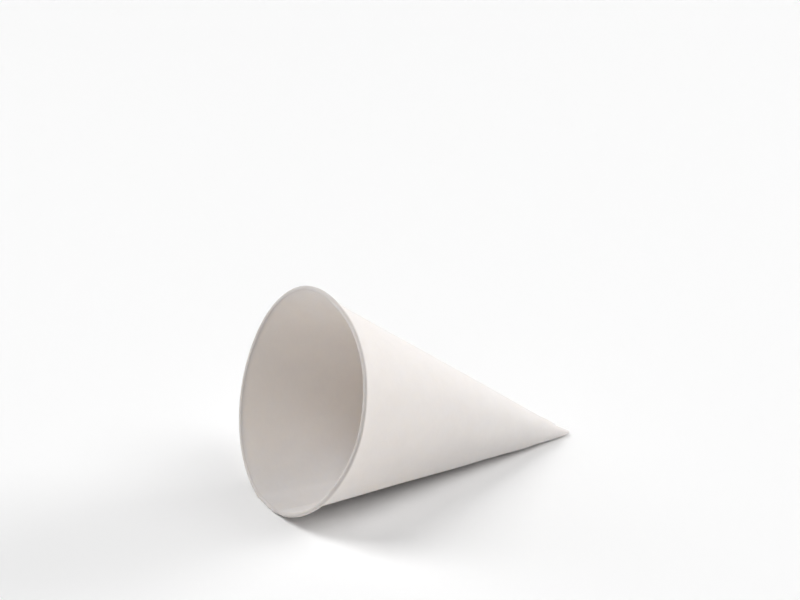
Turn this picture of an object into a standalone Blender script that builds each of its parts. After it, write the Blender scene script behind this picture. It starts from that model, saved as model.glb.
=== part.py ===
# Cone paper cup, lying on its side as it comes to rest.
# The cup is one sheet of paper. It is wound into a cone and glued along its lap, wound tight into a
# solid nose at the tip, and rolled outward round the mouth. Handling has pressed the mouth slightly oval.
# It is built with the cone's point at the origin, its axis up +Z and the lap towards +X. It is then laid
# down: mouth towards -X, tip towards +X, resting on the floor at z = 0 with the heavier lap underneath.

import math

import bmesh
import bpy
from mathutils import Matrix, Vector

# Driving dimensions, in metres
MOUTH_DIAMETER = 0.0700     # over the rolled rim
CUP_HEIGHT = 0.0965         # along the axis, from the blunt end to the top of the rolled rim
PAPER = 0.0002              # thickness of the sheet
ROLL_DIAMETER = 0.0015      # the rolled rim's own section, outside
ROLL_GAP = 0.00006          # between the roll's cut edge and the doubled wall beside it
LAP_WIDTH = 0.0150          # doubled paper at the mouth
LAP_FLAT = 0.0105           # how much of it, in its middle, is too stiff to bend round: the cup rests on it
CLIMB_LENGTH = 0.0030       # stretch in which the sheet climbs on to its own first edge
OUTER_CUT_OFFSET = 0.0064   # on the flat sheet, how near the outer cut edge passes the cone's point
LAP_TIP_WIDTH = 0.0026      # how much farther from that point the inner cut edge passes
NOSE_END_DIAMETER = 0.0009  # blunt end of the nose
NOSE_PRESS = 0.00006        # how much slimmer the nose is pressed than the wall behind it
NOSE_LIFT = 0.0003          # how far the blunt end is bent up from the floor
PLUG_LENGTH = 0.0050        # solid wound paper, from the blunt end to the bottom of the hollow
MOUTH_PRESS = 0.0008        # the mouth is this much lower at top and bottom, and wider at the sides
MOUTH_WAVE = 0.00035        # height of the mouth's three soft corners

# Proportions of small forms, as shares of what carries them
CLIMB_LIMIT_SHARE = 0.5     # the climb takes at most this much of the single paper beside it
DIMPLE_WIDTH_SHARE = 0.5    # dimple in the blunt end, of that end's radius
DIMPLE_DEPTH_SHARE = 0.3

# Facets and rows
FACETS_LAP_SIDE = 1         # round part of the lap, on each side of its flat
FACETS_LAP = 2 * FACETS_LAP_SIDE + 1
FACETS_SINGLE = 59
ROWS_WALL = 24
ROWS_HOLLOW = 14
ROWS_NOSE = 4
ROWS_ROLL_OUTSIDE = 12
ROWS_ROLL_INSIDE = 8
SETTLE_ROUNDS = 8

# Finish of the paper
PAPER_COLOUR = (0.85, 0.83, 0.81, 1.0)
PAPER_ROUGHNESS = 0.8
SHARP_EDGE_ANGLE = math.radians(40)

FULL_TURN = 2 * math.pi
QUARTER_TURN = math.pi / 2

# The section of the wall and the rolled rim, worked out from the sizes above.
# The sheet's inner face is the reference cone. Depth is measured outward from it, into the paper.
ROLL_RADIUS = ROLL_DIAMETER / 2
NOSE_END_RADIUS = NOSE_END_DIAMETER / 2
ROLL_CENTRE_RADIUS = MOUTH_DIAMETER / 2 - ROLL_RADIUS
ROLL_CENTRE_HEIGHT = CUP_HEIGHT - ROLL_RADIUS
RISE = math.hypot(ROLL_CENTRE_RADIUS - NOSE_END_RADIUS, ROLL_CENTRE_HEIGHT)
HALF_ANGLE = (math.atan2(ROLL_CENTRE_RADIUS - NOSE_END_RADIUS, ROLL_CENTRE_HEIGHT)
              - math.asin((ROLL_RADIUS - PAPER) / RISE))
BLUNT_END_HEIGHT = (NOSE_END_RADIUS - PAPER / math.cos(HALF_ANGLE)) / math.tan(HALF_ANGLE)
SLANT_TO_ROLL = ((ROLL_CENTRE_HEIGHT + BLUNT_END_HEIGHT + ROLL_RADIUS * math.sin(HALF_ANGLE))
                 / math.cos(HALF_ANGLE))
ROLL_TURN = FULL_TURN - math.acos((ROLL_RADIUS - 2 * PAPER - ROLL_GAP) / ROLL_RADIUS)
INNER_CUT_OFFSET = OUTER_CUT_OFFSET + LAP_TIP_WIDTH
LAP_TURN = LAP_WIDTH / (MOUTH_DIAMETER / 2)
FLAT_TURN = 2 * math.asin(LAP_FLAT / MOUTH_DIAMETER)


def winding(offset, slant):
    """Turn that a straight cut, passing the cone's point at offset, makes round the cone by this slant."""
    return math.asin(min(1, offset / slant)) / math.sin(HALF_ANGLE)


def outer_cut(slant):
    """Turn at which the sheet's outer cut edge crosses this slant distance."""
    return winding(OUTER_CUT_OFFSET, slant) - winding(OUTER_CUT_OFFSET, SLANT_TO_ROLL) - LAP_TURN / 2


def inner_cut(slant):
    """Turn at which the sheet's first edge, inside the cup, crosses this slant distance."""
    return winding(INNER_CUT_OFFSET, slant) - winding(INNER_CUT_OFFSET, SLANT_TO_ROLL) + LAP_TURN / 2


def climb(beyond, slant):
    """Share of a paper thickness by which the sheet is lifted, at this turn beyond its first edge."""
    single = FULL_TURN - (inner_cut(slant) - outer_cut(slant))
    ramp = min(CLIMB_LENGTH / (slant * math.sin(HALF_ANGLE)), single * CLIMB_LIMIT_SHARE)
    return min(1, max(0, 1 - beyond / ramp))


def sheet_point(turn, slant, roll, depth):
    """Point of the sheet. The roll angle is zero on the wall, and grows round the rolled rim."""
    press = MOUTH_PRESS * math.cos(2 * turn) - MOUTH_WAVE * math.cos(3 * turn)
    angle = HALF_ANGLE - press / SLANT_TO_ROLL
    radial = Vector((math.cos(turn), math.sin(turn), 0))
    along = radial * math.sin(angle) + Vector((0, 0, math.cos(angle)))
    outward = radial * math.cos(angle) - Vector((0, 0, math.sin(angle)))
    from_centre = along * math.sin(roll) - outward * math.cos(roll)
    return along * slant + outward * ROLL_RADIUS + from_centre * (ROLL_RADIUS - depth)


def stations():
    """Turns of the facets' corners, counted from the outer cut and from the inner cut at the mouth."""
    lap_side = [(LAP_TURN - FLAT_TURN) / 2 * i / FACETS_LAP_SIDE for i in range(FACETS_LAP_SIDE + 1)]
    lap = lap_side + [LAP_TURN - turn for turn in reversed(lap_side)]
    single = [(FULL_TURN - LAP_TURN) * i / FACETS_SINGLE for i in range(FACETS_SINGLE + 1)]
    from_outer_cut = lap + [LAP_TURN + turn for turn in single[1:]]
    from_inner_cut = single + [FULL_TURN - LAP_TURN + turn for turn in lap[1:]]
    return from_outer_cut, from_inner_cut


def wall_slants(offset, rows):
    """Slant distances from a cut's nearest approach up to the roll, close together where it winds fast."""
    start = math.sqrt(QUARTER_TURN)
    stop = math.sqrt(math.asin(offset / SLANT_TO_ROLL))
    return [offset / math.sin((start + (stop - start) * i / rows) ** 2) for i in range(rows + 1)]


def roll_angles(rows):
    """Angles round the rolled rim, after the one where it leaves the wall."""
    return [ROLL_TURN * (i + 1) / rows for i in range(rows)]


def add_row(mesh, points):
    return [mesh.verts.new(point) for point in points]


def join_rows(mesh, lower, upper):
    """Faces between two rows of as many corners."""
    for i in range(len(lower) - 1):
        mesh.faces.new((lower[i], lower[i + 1], upper[i + 1], upper[i]))


def join_to_point(mesh, row, point):
    for i in range(len(row) - 1):
        mesh.faces.new((row[i], row[i + 1], point))


def outer_face(mesh, turns):
    """Outer face of the sheet from the nose to the roll's edge, with the step at its outer cut edge."""
    sections = [(slant, 0) for slant in wall_slants(OUTER_CUT_OFFSET, ROWS_WALL)]
    sections += [(SLANT_TO_ROLL, roll) for roll in roll_angles(ROWS_ROLL_INSIDE)]
    rows = []
    for slant, roll in sections:
        covered = inner_cut(slant) - outer_cut(slant)
        points = []
        for turn in turns:
            depth = PAPER * (1 + climb(turn - covered, slant))
            points.append(sheet_point(outer_cut(slant) + turn, slant, roll, depth))
        rows.append(add_row(mesh, points))
    for lower, upper in zip(rows, rows[1:]):
        join_rows(mesh, lower, upper)
        join_rows(mesh, [lower[-1], lower[0]], [upper[-1], upper[0]])
    return rows


def inner_face(mesh, turns):
    """Inner face of the sheet from the bottom of the hollow to the roll's edge, with its first edge."""
    sections = [(slant, 0) for slant in wall_slants(INNER_CUT_OFFSET, ROWS_HOLLOW)]
    sections += [(SLANT_TO_ROLL, roll) for roll in roll_angles(ROWS_ROLL_OUTSIDE)]
    rows = []
    for slant, roll in sections:
        points = []
        for turn in turns:
            depth = PAPER * climb(turn, slant)
            points.append(sheet_point(inner_cut(slant) + turn, slant, roll, depth))
        rows.append(add_row(mesh, points))
    for lower, upper in zip(rows, rows[1:]):
        join_rows(mesh, lower, upper)
        join_rows(mesh, [lower[-1], lower[0]], [upper[-1], upper[0]])
    bottom = mesh.verts.new((0, 0, BLUNT_END_HEIGHT + PLUG_LENGTH))
    join_to_point(mesh, rows[0] + [rows[0][0]], bottom)
    return rows


def nose(mesh, turns, wall_row):
    """Nose from the ledge where the lap ends to the dimpled blunt end, bent slightly up."""
    start_turn = outer_cut(OUTER_CUT_OFFSET)
    rows = []
    for i in range(ROWS_NOSE + 1):
        share = i / ROWS_NOSE
        lift = Vector((-NOSE_LIFT * share ** 2, 0, 0))
        points = []
        for turn in turns[:-1]:
            base = sheet_point(start_turn + turn, OUTER_CUT_OFFSET, 0, PAPER - NOSE_PRESS)
            end = Vector((NOSE_END_RADIUS * math.cos(start_turn + turn),
                          NOSE_END_RADIUS * math.sin(start_turn + turn), BLUNT_END_HEIGHT))
            points.append(base.lerp(end, share) + lift)
        rows.append(add_row(mesh, points))
    centre = Vector((-NOSE_LIFT, 0, BLUNT_END_HEIGHT))
    dimple = centre + Vector((0, 0, NOSE_END_RADIUS * DIMPLE_DEPTH_SHARE))
    edge = [dimple.lerp(dimple + corner.co - centre, DIMPLE_WIDTH_SHARE) for corner in rows[-1]]
    rows.append(add_row(mesh, edge))
    rows = [row + [row[0]] for row in rows]
    join_rows(mesh, wall_row, rows[0])
    mesh.faces.new((wall_row[0], wall_row[-1], rows[0][0]))
    for upper, lower in zip(rows, rows[1:]):
        join_rows(mesh, upper, lower)
    join_to_point(mesh, rows[-1], mesh.verts.new(dimple))


def roll_edge(mesh, outer_row, inner_row):
    """Cut edge of the sheet at the end of the roll, where its two faces meet."""
    join_rows(mesh, outer_row[FACETS_LAP:], inner_row[:FACETS_SINGLE + 1])
    join_rows(mesh, outer_row[:FACETS_LAP + 1], inner_row[FACETS_SINGLE:])
    mesh.faces.new((outer_row[FACETS_LAP], inner_row[0], inner_row[-1]))
    mesh.faces.new((inner_row[FACETS_SINGLE], outer_row[0], outer_row[-1]))


def paper_material():
    material = bpy.data.materials.new("white_paper")
    material.use_nodes = True
    shader = material.node_tree.nodes["Principled BSDF"]
    shader.inputs["Base Color"].default_value = PAPER_COLOUR
    shader.inputs["Roughness"].default_value = PAPER_ROUGHNESS
    shader.inputs["Metallic"].default_value = 0
    return material


def make_cup():
    """The wound sheet as one closed solid, in the cone's own frame."""
    from_outer_cut, from_inner_cut = stations()
    mesh = bmesh.new()
    outer_rows = outer_face(mesh, from_outer_cut)
    inner_rows = inner_face(mesh, from_inner_cut)
    nose(mesh, from_outer_cut, outer_rows[0])
    roll_edge(mesh, outer_rows[-1], inner_rows[-1])
    bmesh.ops.recalc_face_normals(mesh, faces=mesh.faces)
    data = bpy.data.meshes.new("paper_cone")
    mesh.to_mesh(data)
    mesh.free()
    data.shade_smooth()
    data.set_sharp_from_angle(angle=SHARP_EDGE_ANGLE)
    data.materials.append(paper_material())
    return bpy.data.objects.new("paper_cone", data)


def lying(axis_rise):
    """Rotation that lays the cup down, its axis rising towards the mouth by this angle."""
    across = Vector((-math.sin(axis_rise), 0, -math.cos(axis_rise)))
    front = Vector((0, -1, 0))
    axis = Vector((-math.cos(axis_rise), 0, math.sin(axis_rise)))
    return Matrix((across, front, axis)).transposed()


def resting_rise(corners):
    """Rise of the axis at which the rim and the tip touch the floor together."""
    middle = SLANT_TO_ROLL / 2
    rise = HALF_ANGLE
    for _ in range(SETTLE_ROUNDS):
        turned = lying(rise)
        tip = min((turned @ corner for corner in corners if corner.z < middle), key=lambda p: p.z)
        rim = min((turned @ corner for corner in corners if corner.z > middle), key=lambda p: p.z)
        rise += math.atan2(tip.z - rim.z, tip.x - rim.x)
    return rise


def lay_down(cup):
    """Rests the cup on the floor, with the middle of its box over the origin."""
    corners = [vertex.co.copy() for vertex in cup.data.vertices]
    turned = lying(resting_rise(corners))
    placed = [turned @ corner for corner in corners]
    lowest = Vector([min(point[i] for point in placed) for i in range(3)])
    highest = Vector([max(point[i] for point in placed) for i in range(3)])
    middle = (lowest + highest) / 2
    cup.matrix_world = Matrix.Translation((-middle.x, -middle.y, -lowest.z)) @ turned.to_4x4()


def main():
    for leftover in list(bpy.data.objects):
        bpy.data.objects.remove(leftover)
    parts = bpy.data.collections.new("cone_paper_cup")
    bpy.context.scene.collection.children.link(parts)
    cup = make_cup()
    parts.objects.link(cup)
    lay_down(cup)


main()
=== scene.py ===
# A white cone paper cup, empty, lying on its side on a pale floor.
# The script follows the cup as it is made: the sheet and its cone, the lap, the rolled rim, the nose at the
# tip, the paper's finish. The floor, the light and the camera come last.

import math

import bmesh
import bpy
import numpy as np
from mathutils import Matrix, Vector


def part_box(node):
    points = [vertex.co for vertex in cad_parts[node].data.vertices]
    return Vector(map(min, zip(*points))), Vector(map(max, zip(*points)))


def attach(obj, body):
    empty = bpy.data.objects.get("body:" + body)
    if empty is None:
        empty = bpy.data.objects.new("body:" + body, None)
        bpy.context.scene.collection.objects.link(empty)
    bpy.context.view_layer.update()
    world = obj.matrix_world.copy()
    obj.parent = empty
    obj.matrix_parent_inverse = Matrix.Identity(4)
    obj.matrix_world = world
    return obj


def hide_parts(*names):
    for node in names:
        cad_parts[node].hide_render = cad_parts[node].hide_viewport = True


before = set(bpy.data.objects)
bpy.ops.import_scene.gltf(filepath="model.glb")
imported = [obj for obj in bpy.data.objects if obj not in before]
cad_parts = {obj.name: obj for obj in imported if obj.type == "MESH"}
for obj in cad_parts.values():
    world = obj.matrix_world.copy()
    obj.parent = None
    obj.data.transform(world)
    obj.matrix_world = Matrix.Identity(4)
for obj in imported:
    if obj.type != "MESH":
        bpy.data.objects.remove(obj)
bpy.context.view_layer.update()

# The sheet and its cone
# One piece of smooth white paper, 0.2 mm thick, is cut as part of a ring and wound on a cone-shaped
# mandrel. All sizes are in metres. The cone's point is at the origin here, its axis up +Z, and the lap
# is towards +X. A sheet's depth is measured outward from its inner face.
MOUTH_DIAMETER = 0.0700
CUP_HEIGHT = 0.0963
PAPER = 0.0002
ROLL_DIAMETER = 0.0015
NOSE_END_DIAMETER = 0.0009
MOUTH_PRESS = 0.0008
MOUTH_WAVE = 0.00035

ROLL_RADIUS = ROLL_DIAMETER / 2
NOSE_END_RADIUS = NOSE_END_DIAMETER / 2
ROLL_CENTRE_RADIUS = MOUTH_DIAMETER / 2 - ROLL_RADIUS
ROLL_CENTRE_HEIGHT = CUP_HEIGHT - ROLL_RADIUS
RISE = math.hypot(ROLL_CENTRE_RADIUS - NOSE_END_RADIUS, ROLL_CENTRE_HEIGHT)
HALF_ANGLE = (math.atan2(ROLL_CENTRE_RADIUS - NOSE_END_RADIUS, ROLL_CENTRE_HEIGHT)
              - math.asin((ROLL_RADIUS - PAPER) / RISE))
BLUNT_END_HEIGHT = (NOSE_END_RADIUS - PAPER / math.cos(HALF_ANGLE)) / math.tan(HALF_ANGLE)
SLANT_TO_ROLL = ((ROLL_CENTRE_HEIGHT + BLUNT_END_HEIGHT + ROLL_RADIUS * math.sin(HALF_ANGLE))
                 / math.cos(HALF_ANGLE))
FULL_TURN = 2 * math.pi

# Paper bends along straight lines through the cone's point. Each ripple is given by how often it goes
# round, its height at the mouth and where it starts. So is each way in which the mouth is out of round, and
# out of square, which fades fast towards the tip.
RIPPLES = ((4, 0.00006, 0.7), (5, 0.00005, 2.9), (7, 0.00004, 4.4), (9, 0.00002, 1.6), (13, 0.000012, 5.2))
OUT_OF_ROUND = ((1, -0.00018, -0.22), (2, -0.00017, 2.29), (3, -0.00007, -0.79))
OUT_OF_SQUARE = ((1, 0.00044, 2.21), (2, 0.00026, 0.32))
OUT_OF_SQUARE_FADE = 4
# Soft dents from handling: turn, slant as a share of the way to the roll, depth and radius. They fade out
# over the last stretch of the wall, where the roll holds it in shape.
DENTS = ((1.45, 0.62, 0.00016, 0.011), (2.55, 0.40, -0.00012, 0.009), (4.85, 0.70, 0.00014, 0.012),
         (5.70, 0.45, -0.00010, 0.008), (3.30, 0.78, 0.00010, 0.010), (0.90, 0.33, 0.00009, 0.007))
ROLL_HOLD_REACH = SLANT_TO_ROLL / 6


def near_turn(turn, other):
    """Turn from the other, the short way round."""
    return (turn - other + math.pi) % FULL_TURN - math.pi


def eased(share):
    """The same share from zero to one, with a soft start and a soft end."""
    return share * share * (3 - 2 * share)


def waves(listed, turn):
    """Height of all these waves together at each turn."""
    return sum(height * np.cos(times * turn + start) for times, height, start in listed)


def dent(turn, slant):
    """How far handling has pushed the sheet outward here."""
    pushed = np.zeros_like(turn)
    for at_turn, share, depth, radius in DENTS:
        across = near_turn(turn, at_turn) * slant * math.sin(HALF_ANGLE)
        away = slant - share * SLANT_TO_ROLL
        pushed -= depth * np.exp(-(across ** 2 + away ** 2) / radius ** 2)
    return pushed * eased(min(1, (SLANT_TO_ROLL - slant) / ROLL_HOLD_REACH))


def sheet_points(turn, slant, roll, depth):
    """A row of points of the sheet. The roll angle is zero on the wall, and grows round the rolled rim."""
    nearness = slant / SLANT_TO_ROLL
    press = MOUTH_PRESS * np.cos(2 * turn) - MOUTH_WAVE * np.cos(3 * turn) + flat_press(turn, slant)
    press = press + waves(RIPPLES, turn) + nearness * waves(OUT_OF_ROUND, turn)
    angle = HALF_ANGLE - press / SLANT_TO_ROLL
    sine, cosine = np.sin(angle), np.cos(angle)
    across, front = np.cos(turn), np.sin(turn)
    along = np.stack([across * sine, front * sine, cosine], 1)
    outward = np.stack([across * cosine, front * cosine, -sine], 1)
    radius = roll_radius(turn)
    arm = (radius - depth)[:, None]
    reach = slant + nearness ** OUT_OF_SQUARE_FADE * waves(OUT_OF_SQUARE, turn)
    centre = along * reach[:, None] + outward * (radius + dent(turn, slant))[:, None]
    roll = np.broadcast_to(roll, turn.shape)[:, None]
    return centre + (along * np.sin(roll) - outward * np.cos(roll)) * arm


# The lap
# The sheet's last edge is glued over its first, so the paper is doubled on one side. Both edges are
# straight cuts on the flat sheet, and wind round the cone near its tip. The stiff doubled band stays
# almost flat in its middle. The glued outer edge stands a hair proud, and the inner one is pressed thin.
LAP_WIDTH = 0.0150
LAP_FLAT = 0.0105
CLIMB_LENGTH = 0.0050
CLIMB_LIMIT_SHARE = 0.85
OUTER_CUT_OFFSET = 0.0064
INNER_CUT_OFFSET = 0.0090
LAP_TURN = LAP_WIDTH / (MOUTH_DIAMETER / 2)
FLAT_TURN = 2 * math.asin(LAP_FLAT / MOUTH_DIAMETER)
FLAT_SOFTNESS_SHARE = 0.3
PROUD_EDGE = 0.00007
PROUD_REACH = 0.0007
CUT_ROUND = 0.00003
CUT_ROUND_REACH = 0.00015
PRESSED_EDGE = 0.00013
PRESSED_REACH = 0.0016


def winding(offset, slant):
    """Turn that a straight cut, passing the cone's point at offset, makes round the cone by this slant."""
    return math.asin(min(1, offset / slant)) / math.sin(HALF_ANGLE)


def outer_cut(slant):
    """Turn at which the sheet's outer cut edge lies."""
    return winding(OUTER_CUT_OFFSET, slant) - winding(OUTER_CUT_OFFSET, SLANT_TO_ROLL) - LAP_TURN / 2


def inner_cut(slant):
    """Turn at which the sheet's inner cut edge lies."""
    return winding(INNER_CUT_OFFSET, slant) - winding(INNER_CUT_OFFSET, SLANT_TO_ROLL) + LAP_TURN / 2


def flat_press(turn, slant):
    """How far the lap's flat middle lies inside the round, measured at the mouth."""
    half = FLAT_TURN / 2
    off_middle = near_turn(turn, outer_cut(slant) + LAP_TURN / 2)
    soft = FLAT_SOFTNESS_SHARE * half ** 2
    depth = soft * np.logaddexp(0, (half ** 2 - off_middle ** 2) / soft) / 2
    return SLANT_TO_ROLL * math.sin(HALF_ANGLE) * depth


def climb(beyond, slant):
    """Share of a paper thickness by which the sheet is lifted, at this turn beyond its first edge."""
    single = FULL_TURN - (inner_cut(slant) - outer_cut(slant))
    ramp = min(CLIMB_LENGTH / (slant * math.sin(HALF_ANGLE)), single * CLIMB_LIMIT_SHARE)
    return eased(np.clip(1 - beyond / ramp, 0, 1))


def near_edge(from_edge, slant, reach):
    """One at a cut edge, fading to nothing within this reach of it."""
    distance = from_edge * slant * math.sin(HALF_ANGLE)
    return np.exp(-(distance / reach) ** 2)


# The rolled rim
# The mouth's edge is curled outward on itself in a tight roll, one sheet thick and two at the lap. It is
# pressed and not glued, so its size wanders a little and its raw edge stops just short of the wall.
ROLL_GAP = 0.00006
ROLL_TURN = FULL_TURN - math.acos((ROLL_RADIUS - 2 * PAPER - ROLL_GAP) / ROLL_RADIUS)
ROLL_WANDER = ((5, 0.016, 1.1), (11, 0.012, 3.7), (23, 0.008, 0.4), (61, 0.005, 2.2), (97, 0.004, 5.0))


def roll_radius(turn):
    """Radius of the roll here, never more than its full one."""
    wander = sum(share * np.sin(times * turn + start) for times, share, start in ROLL_WANDER)
    return ROLL_RADIUS * (1 + wander - sum(share for _, share, _ in ROLL_WANDER))


# The cup's mesh
# The wound sheet is one closed shell: an outer face, an inner face, the steps at its two cut edges, the
# edge at the end of the roll, and the nose, which the next section shapes.
PAPER_FACE = 0
CUT_FACE = 1
ROLL_FACE = 2
FACETS_LAP = 36
FACETS_SINGLE = 300
CROWDING_AT_EDGES = 0.75
ROWS_WALL = 96
ROWS_HOLLOW = 66
ROWS_ROLL_OUTSIDE = 28
ROWS_ROLL_INSIDE = 18

points = []
faces = []
face_finish = []


def add_row(row):
    """Adds a row of points and returns their numbers."""
    first = len(points)
    points.extend(row.tolist())
    return list(range(first, len(points)))


def join_rows(lower, upper, finish=PAPER_FACE):
    """Faces between two rows of as many points."""
    for i in range(len(lower) - 1):
        faces.append((lower[i], lower[i + 1], upper[i + 1], upper[i]))
        face_finish.append(finish)


def join_to_point(row, point, finish=PAPER_FACE):
    """Faces between a row of points and one point beyond it."""
    for i in range(len(row) - 1):
        faces.append((row[i], row[i + 1], point))
        face_finish.append(finish)


def wall_slants(offset, rows):
    """Slant distances from a cut's nearest approach up to the roll, close together where it winds fast."""
    start = math.sqrt(math.pi / 2)
    stop = math.sqrt(math.asin(offset / SLANT_TO_ROLL))
    return [offset / math.sin((start + (stop - start) * i / rows) ** 2) for i in range(rows + 1)]


def face_sections(offset, rows, roll_rows):
    """Slant and roll angle of every row of a face, from its tip end to the roll's edge."""
    on_wall = [(slant, 0) for slant in wall_slants(offset, rows)]
    return on_wall + [(SLANT_TO_ROLL, ROLL_TURN * (i + 1) / roll_rows) for i in range(roll_rows)]


def join_face(rows, wall_rows):
    """Joins the rows of a face, the wall's and then the roll's, and closes the step at its cut edge."""
    for i, (lower, upper) in enumerate(zip(rows, rows[1:])):
        join_rows(lower, upper, PAPER_FACE if i < wall_rows else ROLL_FACE)
        join_rows([lower[-1], lower[0]], [upper[-1], upper[0]], CUT_FACE)


def spread(facets):
    """Shares from zero to one, closer together towards both ends, where the cut edges are."""
    even = np.linspace(0, 1, facets + 1)
    return even - CROWDING_AT_EDGES * np.sin(FULL_TURN * even) / FULL_TURN


lap_turns = LAP_TURN * spread(FACETS_LAP)
single_turns = (FULL_TURN - LAP_TURN) * spread(FACETS_SINGLE)
from_outer_cut = np.concatenate([lap_turns, LAP_TURN + single_turns[1:]])
from_inner_cut = np.concatenate([single_turns, FULL_TURN - LAP_TURN + lap_turns[1:]])

outer_rows = []
for slant, roll in face_sections(OUTER_CUT_OFFSET, ROWS_WALL, ROWS_ROLL_INSIDE):
    covered = inner_cut(slant) - outer_cut(slant)
    depth = PAPER * (1 + climb(from_outer_cut - covered, slant))
    depth -= CUT_ROUND * near_edge(from_outer_cut, slant, CUT_ROUND_REACH)
    if roll == 0:
        depth += PROUD_EDGE * (1 - slant / SLANT_TO_ROLL) * near_edge(from_outer_cut, slant, PROUD_REACH)
    outer_rows.append(add_row(sheet_points(outer_cut(slant) + from_outer_cut, slant, roll, depth)))
join_face(outer_rows, ROWS_WALL)

inner_rows = []
for slant, roll in face_sections(INNER_CUT_OFFSET, ROWS_HOLLOW, ROWS_ROLL_OUTSIDE):
    to_cut = FULL_TURN - from_inner_cut
    depth = PAPER * climb(from_inner_cut, slant)
    depth += CUT_ROUND * near_edge(to_cut, slant, CUT_ROUND_REACH)
    depth += PRESSED_EDGE * near_edge(to_cut, slant, PRESSED_REACH)
    inner_rows.append(add_row(sheet_points(inner_cut(slant) + from_inner_cut, slant, roll, depth)))
join_face(inner_rows, ROWS_HOLLOW)

join_rows(outer_rows[-1][FACETS_LAP:], inner_rows[-1][:FACETS_SINGLE + 1], CUT_FACE)
join_rows(outer_rows[-1][:FACETS_LAP + 1], inner_rows[-1][FACETS_SINGLE:], CUT_FACE)
faces.append((outer_rows[-1][FACETS_LAP], inner_rows[-1][0], inner_rows[-1][-1]))
faces.append((inner_rows[-1][FACETS_SINGLE], outer_rows[-1][0], outer_rows[-1][-1]))
face_finish.extend([CUT_FACE, CUT_FACE])

# The nose
# At the tip the sheet is wound so tight that it is solid. Beyond the outer cut edge one layer less is left,
# so the nose is slimmer, and its own layer's edge winds round it to the blunt end. The winding tool leaves
# a small dimple there and a slight bend. Inside, the wound plug is the bottom of the hollow.
PLUG_LENGTH = 0.0050
NOSE_PRESS = 0.0001
NOSE_LIFT = 0.0005
NOSE_SPIRAL = 0.00005
NOSE_SPIRAL_TURNS = 1.4
NOSE_SPIRAL_EDGE = 0.04
NOSE_BULGE = 0.00009
ROWS_NOSE = 22
ROWS_DIMPLE = 5
DIMPLE_DEPTH = 0.00014

nose_start = outer_cut(OUTER_CUT_OFFSET)
nose_turns = nose_start + from_outer_cut[:-1]
nose_ledge = sheet_points(nose_turns, OUTER_CUT_OFFSET, 0, np.full(nose_turns.shape, PAPER - NOSE_PRESS))
nose_radial = np.stack([np.cos(nose_turns), np.sin(nose_turns), np.zeros_like(nose_turns)], 1)
nose_end = nose_radial * NOSE_END_RADIUS + np.array([0, 0, BLUNT_END_HEIGHT])


def nose_row(share):
    """Ring of the nose, this share of the way from the ledge to the blunt end."""
    row = nose_ledge * (1 - share) + nose_end * share
    layer = (nose_turns - nose_start + share * NOSE_SPIRAL_TURNS * FULL_TURN) % FULL_TURN / FULL_TURN
    layer_edge = np.clip((1 - layer) / NOSE_SPIRAL_EDGE, 0, 1)
    hump = 4 * share * (1 - share)
    swell = (NOSE_SPIRAL * (layer - 0.5) * layer_edge + NOSE_BULGE) * hump
    row = row + nose_radial * swell[:, None]
    row[:, 0] -= NOSE_LIFT * share ** 2
    return row


def closed(row):
    """A ring's points with the first one again at the end."""
    return row + row[:1]


nose_rows = [closed(add_row(nose_row(i / ROWS_NOSE))) for i in range(ROWS_NOSE + 1)]
join_rows(outer_rows[0], nose_rows[0], CUT_FACE)
faces.append((outer_rows[0][0], outer_rows[0][-1], nose_rows[0][0]))
face_finish.append(CUT_FACE)
for upper, lower in zip(nose_rows, nose_rows[1:]):
    join_rows(upper, lower)

end_ring = nose_row(1)
end_centre = np.array([-NOSE_LIFT, 0, BLUNT_END_HEIGHT])
for i in range(1, ROWS_DIMPLE):
    share = i / ROWS_DIMPLE
    row = end_centre + (end_ring - end_centre) * math.cos(share * math.pi / 2)
    row[:, 2] += DIMPLE_DEPTH * share ** 2
    nose_rows.append(closed(add_row(row)))
    join_rows(nose_rows[-2], nose_rows[-1], CUT_FACE)
dimple = add_row((end_centre + np.array([0, 0, DIMPLE_DEPTH]))[None, :])[0]
join_to_point(nose_rows[-1], dimple, CUT_FACE)

plug = add_row(np.array([[0, 0, BLUNT_END_HEIGHT + PLUG_LENGTH]]))[0]
join_to_point(closed(inner_rows[0]), plug)

# The cup at rest
# It lies with the rim at the lap's flat and the tip on the floor, its mouth towards -X, in the middle of
# the CAD's box. The angle at which both touch the floor is found in a few rounds.
SETTLE_ROUNDS = 8
SHARP_EDGE = math.radians(40)


def lying(rise):
    """Rotation that lays the cup down, its axis rising towards the mouth by this angle."""
    across = Vector((-math.sin(rise), 0, -math.cos(rise)))
    front = Vector((0, -1, 0))
    axis = Vector((-math.cos(rise), 0, math.sin(rise)))
    return np.array(Matrix((across, front, axis)).transposed())


corners = np.array(points)
tip_half = corners[:, 2] < SLANT_TO_ROLL / 2
rest_rise = HALF_ANGLE
for _ in range(SETTLE_ROUNDS):
    laid = corners @ lying(rest_rise).T
    tip = laid[tip_half][laid[tip_half][:, 2].argmin()]
    rim = laid[~tip_half][laid[~tip_half][:, 2].argmin()]
    rest_rise += math.atan2(tip[2] - rim[2], tip[0] - rim[0])
laid = corners @ lying(rest_rise).T
box_low, box_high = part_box("paper_cone")
shift = (np.array(box_low) + np.array(box_high)) / 2 - (laid.min(0) + laid.max(0)) / 2
shift[2] = box_low.z - laid[:, 2].min()
laid += shift
cone_point = Vector(shift)

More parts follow.
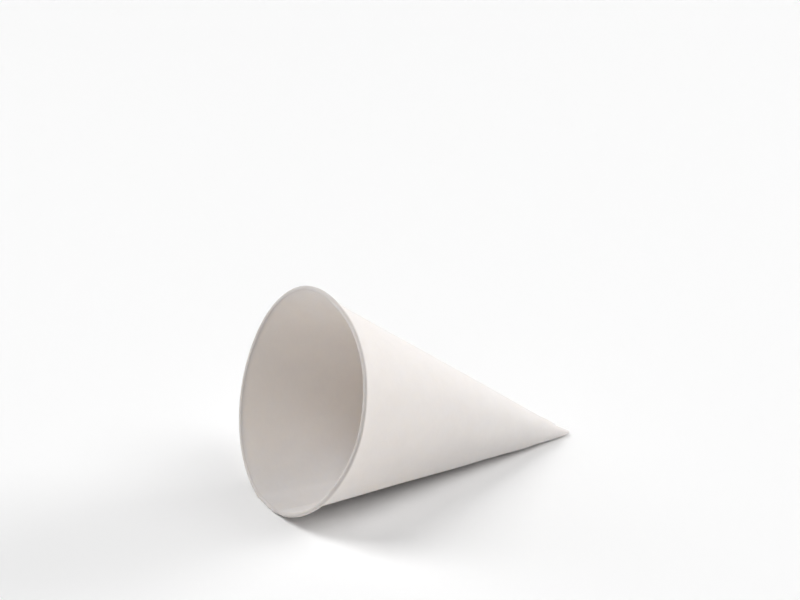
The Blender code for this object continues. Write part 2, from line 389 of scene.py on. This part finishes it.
cup_mesh = bpy.data.meshes.new("paper_cup")
cup_mesh.from_pydata(laid.tolist(), [], faces)
cup_mesh.polygons.foreach_set("material_index", face_finish)
cup_build = bmesh.new()
cup_build.from_mesh(cup_mesh)
bmesh.ops.recalc_face_normals(cup_build, faces=cup_build.faces)
cup_build.to_mesh(cup_mesh)
cup_build.free()
cup_mesh.shade_smooth()
cup_mesh.set_sharp_from_angle(angle=SHARP_EDGE)
cup = bpy.data.objects.new("paper_cup", cup_mesh)
bpy.context.scene.collection.objects.link(cup)

# The paper's finish
# Smooth uncoated white paper, matt and very slightly warm, and thin enough to let some light through. It is
# a little cloudy, with fine fibres that lie mostly round the cup. The tight roll lets hardly any light
# through, and its colour is a shade darker as painted shade for the shade that falls on the rim. The cut
# edges are rougher, with fibre ends.
PAPER_WHITE = (0.717, 0.685, 0.666, 1.0)
PAPER_SHADE = (0.691, 0.658, 0.641, 1.0)
EDGE_WHITE = (0.73, 0.70, 0.68, 1.0)
EDGE_SHADE = (0.64, 0.61, 0.59, 1.0)
# The roll's two tones are the paper's, made darker as painted shade for the shade that falls on the rolled
# rim.
ROLL_WHITE_WITH_PAINTED_SHADE = (0.672, 0.634, 0.608, 1.0)
ROLL_SHADE_WITH_PAINTED_SHADE = (0.648, 0.609, 0.585, 1.0)
LIGHT_REACH = (1.0, 0.93, 0.82)
LIGHT_REACH_SHEET = 0.0004
LIGHT_REACH_ROLL = 0.0001
CLOUDS_PER_METRE, CLOUDS_DETAIL = 170, 3
FIBRES_PER_METRE, FIBRES_DETAIL = 1500, 4
GRAIN_PER_METRE, GRAIN_DETAIL = 5200, 2
FIBRE_STRETCH = (1.0, 0.35, 0.35)
FIBRES_IN_TONE = 0.35
TONE_LOW, TONE_HIGH = 0.3, 0.7
PAPER_GLOSS = 0.3
SURFACE_STRENGTH = 0.5


def paper_fibre_group():
    """Cloudiness and fibres: a mask for the paper's tone, and a height for its surface."""
    group = bpy.data.node_groups.new("paper_fibres", "ShaderNodeTree")
    sockets = group.interface
    sockets.new_socket("Fibre Share", in_out="INPUT", socket_type="NodeSocketFloat")
    sockets.new_socket("Tone", in_out="OUTPUT", socket_type="NodeSocketFloat")
    sockets.new_socket("Height", in_out="OUTPUT", socket_type="NodeSocketFloat")
    nodes, links = group.nodes, group.links
    given = nodes.new("NodeGroupInput")
    made = nodes.new("NodeGroupOutput")
    place = nodes.new("ShaderNodeTexCoord")
    stretch = nodes.new("ShaderNodeMapping")
    stretch.inputs["Scale"].default_value = FIBRE_STRETCH
    links.new(place.outputs["Object"], stretch.inputs["Vector"])

    def noise(per_metre, detail, vector):
        texture = nodes.new("ShaderNodeTexNoise")
        texture.inputs["Scale"].default_value = per_metre
        texture.inputs["Detail"].default_value = detail
        links.new(vector, texture.inputs["Vector"])
        return texture.outputs["Fac"]

    clouds = noise(CLOUDS_PER_METRE, CLOUDS_DETAIL, place.outputs["Object"])
    fibres = noise(FIBRES_PER_METRE, FIBRES_DETAIL, stretch.outputs["Vector"])
    grain = noise(GRAIN_PER_METRE, GRAIN_DETAIL, place.outputs["Object"])
    surface = nodes.new("ShaderNodeMix")
    links.new(given.outputs["Fibre Share"], surface.inputs["Factor"])
    links.new(grain, surface.inputs["A"])
    links.new(fibres, surface.inputs["B"])
    tone = nodes.new("ShaderNodeMix")
    tone.inputs["Factor"].default_value = FIBRES_IN_TONE
    links.new(clouds, tone.inputs["A"])
    links.new(fibres, tone.inputs["B"])
    links.new(tone.outputs["Result"], made.inputs["Tone"])
    links.new(surface.outputs["Result"], made.inputs["Height"])
    return group


paper_fibres = paper_fibre_group()


def paper_material(name, white, shade, reach, fibre_share, depth, rough_low, rough_high):
    """Matt paper: two near whites clouded together, and a fine surface of fibres."""
    material = bpy.data.materials.new(name)
    material.use_nodes = True
    nodes, links = material.node_tree.nodes, material.node_tree.links
    shader = nodes["Principled BSDF"]
    shader.inputs["Metallic"].default_value = 0
    shader.inputs["Specular IOR Level"].default_value = PAPER_GLOSS
    shader.inputs["Subsurface Weight"].default_value = 1.0
    shader.inputs["Subsurface Radius"].default_value = LIGHT_REACH
    shader.inputs["Subsurface Scale"].default_value = reach
    fibres = nodes.new("ShaderNodeGroup")
    fibres.node_tree = paper_fibres
    fibres.inputs["Fibre Share"].default_value = fibre_share
    contrast = nodes.new("ShaderNodeMapRange")
    contrast.inputs["From Min"].default_value = TONE_LOW
    contrast.inputs["From Max"].default_value = TONE_HIGH
    links.new(fibres.outputs["Tone"], contrast.inputs["Value"])
    colour = nodes.new("ShaderNodeMix")
    colour.data_type = "RGBA"
    colour.inputs["A"].default_value = shade
    colour.inputs["B"].default_value = white
    links.new(contrast.outputs["Result"], colour.inputs["Factor"])
    links.new(colour.outputs["Result"], shader.inputs["Base Color"])
    roughness = nodes.new("ShaderNodeMapRange")
    roughness.inputs["To Min"].default_value = rough_high
    roughness.inputs["To Max"].default_value = rough_low
    links.new(fibres.outputs["Height"], roughness.inputs["Value"])
    links.new(roughness.outputs["Result"], shader.inputs["Roughness"])
    bump = nodes.new("ShaderNodeBump")
    bump.inputs["Strength"].default_value = SURFACE_STRENGTH
    bump.inputs["Distance"].default_value = depth
    links.new(fibres.outputs["Height"], bump.inputs["Height"])
    links.new(bump.outputs["Normal"], shader.inputs["Normal"])
    return material


# In the order of the numbers PAPER_FACE, CUT_FACE and ROLL_FACE.
cup_mesh.materials.append(paper_material(
    "white_paper", PAPER_WHITE, PAPER_SHADE, reach=LIGHT_REACH_SHEET,
    fibre_share=0.6, depth=0.00002, rough_low=0.66, rough_high=0.84))
cup_mesh.materials.append(paper_material(
    "cut_paper", EDGE_WHITE, EDGE_SHADE, reach=LIGHT_REACH_SHEET,
    fibre_share=0.2, depth=0.00004, rough_low=0.85, rough_high=0.95))
# The rolled rim's darker colour is painted shade; its short light reach is the tight roll's own.
cup_mesh.materials.append(paper_material(
    "rolled_paper_painted_shade", ROLL_WHITE_WITH_PAINTED_SHADE, ROLL_SHADE_WITH_PAINTED_SHADE, reach=LIGHT_REACH_ROLL,
    fibre_share=0.6, depth=0.00002, rough_low=0.62, rough_high=0.80))

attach(cup, "root")
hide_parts("paper_cone")

# The floor
# A plain pale disc, wide enough to run out of view on every side when seen from above. Seen from its own
# height, it ends before it grows dark, and the pale walls carry on.
FLOOR_RADIUS = 1.6
FLOOR_CORNERS = 128
FLOOR_DROP = 0.00002
FLOOR_COLOUR = (0.96, 0.96, 0.96, 1.0)
FLOOR_ROUGHNESS = 0.9
FLOOR_GLOSS = 0.1

floor_mesh = bpy.data.meshes.new("floor")
floor_build = bmesh.new()
bmesh.ops.create_circle(floor_build, cap_ends=True, segments=FLOOR_CORNERS, radius=FLOOR_RADIUS)
floor_build.to_mesh(floor_mesh)
floor_build.free()
floor = bpy.data.objects.new("floor", floor_mesh)
floor.location.z = -FLOOR_DROP
bpy.context.scene.collection.objects.link(floor)
floor_material = bpy.data.materials.new("pale_floor")
floor_material.use_nodes = True
floor_shader = floor_material.node_tree.nodes["Principled BSDF"]
floor_shader.inputs["Base Color"].default_value = FLOOR_COLOUR
floor_shader.inputs["Roughness"].default_value = FLOOR_ROUGHNESS
floor_shader.inputs["Specular IOR Level"].default_value = FLOOR_GLOSS
floor_mesh.materials.append(floor_material)

# The light
# Plain soft studio light: a room with pale walls and a darker ceiling, and five large panels. The strongest
# panel is low on the tip's side and grazes the flank, one is above it, and the three on the mouth's side
# reach into the cup.
ROOM_COLOUR = (1.0, 1.0, 1.0, 1.0)
WALLS_STRENGTH = 0.85
CEILING_STRENGTH = 0.05
WALLS_FADE_FROM = math.radians(4)
WALLS_FADE_TO = math.radians(10)
# Each panel's azimuth, elevation and distance as seen from the cup, then its width, height and power.
PANELS = (
    ("low_panel", 90, 12, 2.6, 1.5, 1.4, 56.0),
    ("right_panel", 55, 54, 2.6, 1.4, 1.4, 19.5),
    ("back_panel", 225, 38, 2.6, 1.4, 1.4, 12.0),
    ("top_panel", 240, 64, 2.6, 1.4, 1.4, 33.5),
    ("left_panel", 315, 38, 2.6, 1.4, 1.4, 6.5),
)


def from_cup(azimuth, elevation):
    """Unit direction from the cup: azimuth 0 is towards -Y, and 90 is towards +X."""
    turn, rise = math.radians(azimuth), math.radians(elevation)
    return Vector((math.sin(turn) * math.cos(rise), -math.cos(turn) * math.cos(rise), math.sin(rise)))


room = bpy.data.worlds.new("room")
bpy.context.scene.world = room
room.use_nodes = True
room_nodes, room_links = room.node_tree.nodes, room.node_tree.links
room_light = room_nodes["Background"]
room_light.inputs["Color"].default_value = ROOM_COLOUR
towards = room_nodes.new("ShaderNodeTexCoord")
rising = room_nodes.new("ShaderNodeSeparateXYZ")
dimming = room_nodes.new("ShaderNodeMapRange")
dimming.interpolation_type = "SMOOTHSTEP"
dimming.inputs["From Min"].default_value = math.sin(WALLS_FADE_FROM)
dimming.inputs["From Max"].default_value = math.sin(WALLS_FADE_TO)
dimming.inputs["To Min"].default_value = WALLS_STRENGTH
dimming.inputs["To Max"].default_value = CEILING_STRENGTH
room_links.new(towards.outputs["Generated"], rising.inputs["Vector"])
room_links.new(rising.outputs["Z"], dimming.inputs["Value"])
room_links.new(dimming.outputs["Result"], room_light.inputs["Strength"])
for name, azimuth, elevation, distance, width, height, power in PANELS:
    lamp = bpy.data.lights.new(name, "AREA")
    lamp.shape = "RECTANGLE"
    lamp.size = width
    lamp.size_y = height
    lamp.energy = power
    panel = bpy.data.objects.new(name, lamp)
    panel.visible_camera = False
    away = from_cup(azimuth, elevation)
    panel.location = away * distance
    panel.rotation_euler = away.to_track_quat("Z", "Y").to_euler()
    bpy.context.scene.collection.objects.link(panel)

# The camera
# A long lens looks down past the mouth's near side. Its place is set from the cone's point, which it sees
# to the right of the picture's middle and below it.
CAMERA_AZIMUTH = -26.63
CAMERA_ELEVATION = 26.01
CAMERA_DISTANCE = 1.5275
POINT_TO_RIGHT = 0.05192
POINT_BELOW = 0.04087
LENS = 225
SENSOR = 36
VIEW_RANGE = 20

camera = bpy.data.cameras.new("camera")
camera.lens = LENS
camera.sensor_width = SENSOR
camera.clip_start = CAMERA_DISTANCE / VIEW_RANGE
camera.clip_end = CAMERA_DISTANCE * VIEW_RANGE
viewer = bpy.data.objects.new("camera", camera)
back = from_cup(CAMERA_AZIMUTH, CAMERA_ELEVATION)
right = Vector((0, 0, 1)).cross(back).normalized()
up = back.cross(right)
viewer.location = cone_point + back * CAMERA_DISTANCE - right * POINT_TO_RIGHT + up * POINT_BELOW
viewer.rotation_euler = Matrix((right, up, back)).transposed().to_euler()
bpy.context.scene.collection.objects.link(viewer)
bpy.context.scene.camera = viewer
bpy.context.scene.view_settings.view_transform = "Standard"
